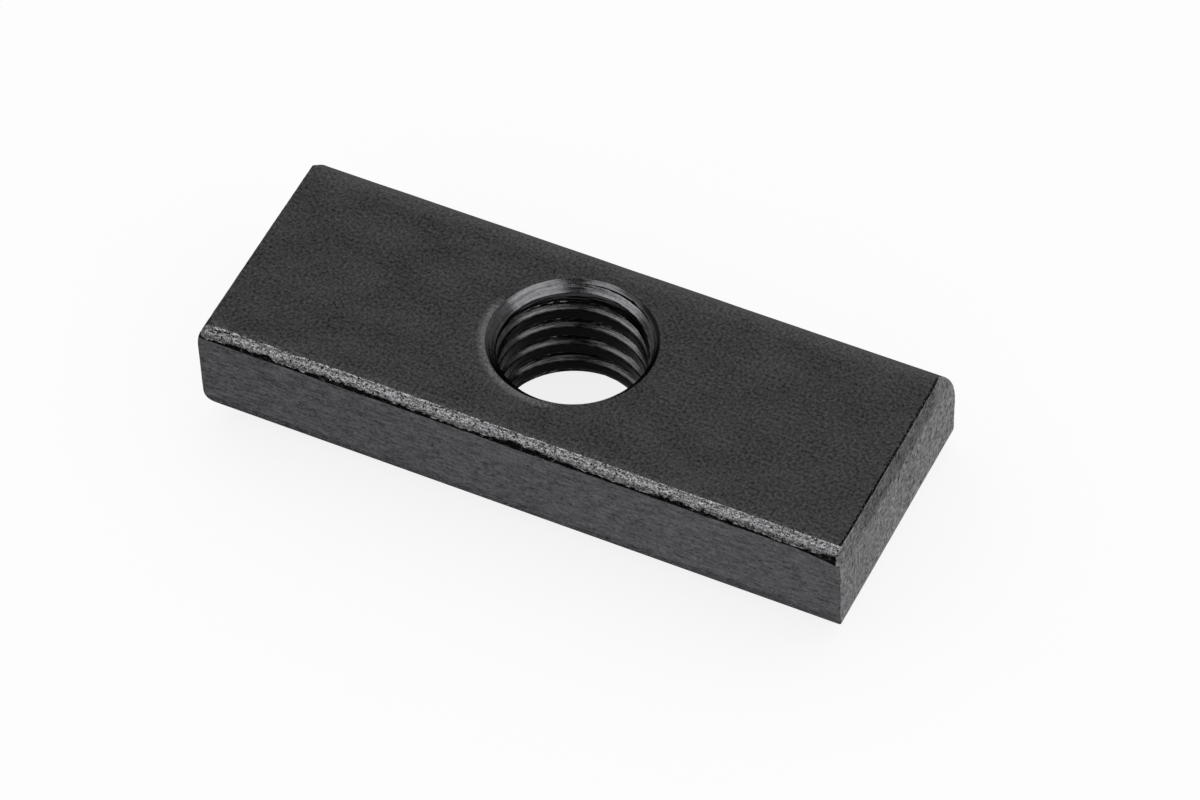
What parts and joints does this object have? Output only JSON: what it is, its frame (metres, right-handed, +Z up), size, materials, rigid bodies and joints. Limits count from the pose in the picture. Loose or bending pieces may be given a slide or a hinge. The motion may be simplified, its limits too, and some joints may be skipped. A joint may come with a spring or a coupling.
{
  "type": "t-slot nut",
  "caption": "Plain rectangular T-slot nut of rolled flat bar with one tapped and countersunk through hole.",
  "frame": {"origin": "under the middle of the bounding box, on the plane of the underside", "axes": "+X along the length of the bar, +Z up along the thread axis, out of the clamping face; the lipped front of the bar faces -Y"},
  "size_m": [0.0428, 0.018, 0.008],
  "materials": {
    "blackened_steel": "matte black oxide on rolled steel"
  },
  "bodies": {
    "root": {"t_slot_nut": "blackened_steel"}
  },
  "joints": []
}
